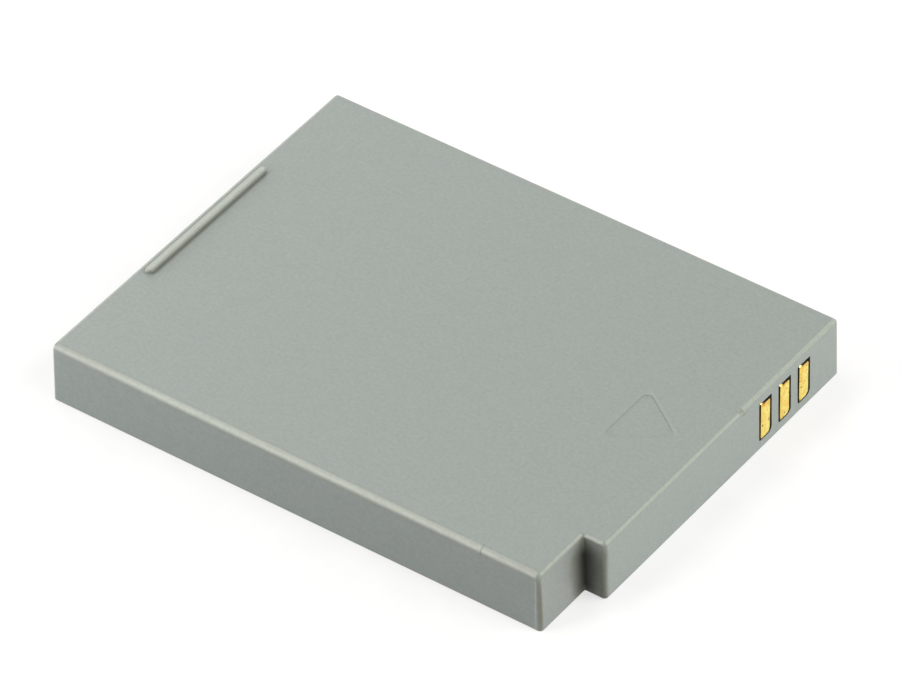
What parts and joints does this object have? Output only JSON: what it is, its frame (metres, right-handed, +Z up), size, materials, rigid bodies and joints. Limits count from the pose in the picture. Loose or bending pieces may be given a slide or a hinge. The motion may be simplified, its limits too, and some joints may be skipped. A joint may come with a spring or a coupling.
{
  "type": "camera battery",
  "caption": "Slim rectangular rechargeable camera battery with a corner key notch, a nail ridge, a sunken arrow and gold contacts in end windows.",
  "frame": {"origin": "middle of the underside's box, on the plane that the battery rests on", "axes": "+X towards the contact end, +Y across the case away from the key notch, +Z up out of the face with the arrow"},
  "size_m": [0.0494, 0.0382, 0.0061],
  "materials": {
    "case_plastic": "fine matt mould texture",
    "contact_gold": "gold plate, satin",
    "cell_aluminium": "drawn, satin",
    "nickel": "rolled strip, satin",
    "seal_plastic": "moulded",
    "insulating_card": "pressed card",
    "foam": "closed-cell foam",
    "tape": "film tape",
    "board_laminate": "green solder mask",
    "fuse_body": "coated",
    "chip_black": "moulded package",
    "resistor_black": "fired chip with tinned ends",
    "capacitor_tan": "fired chip with tinned ends"
  },
  "bodies": {
    "root": {"case_tray": "case_plastic", "base_cover": "case_plastic", "contact_negative": "contact_gold", "contact_sense": "contact_gold", "contact_positive": "contact_gold", "cell_can": "cell_aluminium", "cell_terminal": "nickel", "positive_tab": "nickel", "negative_tab": "nickel", "fuse_lead": "nickel", "terminal_gasket": "seal_plastic", "header_insulator": "insulating_card", "end_cushion": "foam", "roof_tape": "tape", "base_tape": "tape", "protection_board": "board_laminate", "ptc_fuse": "fuse_body", "protection_chip": "chip_black", "switch_chip": "chip_black", "supply_resistor": "resistor_black", "sense_resistor": "resistor_black", "identity_resistor": "resistor_black", "bypass_capacitor": "capacitor_tan", "thermistor": "capacitor_tan"}
  },
  "joints": []
}
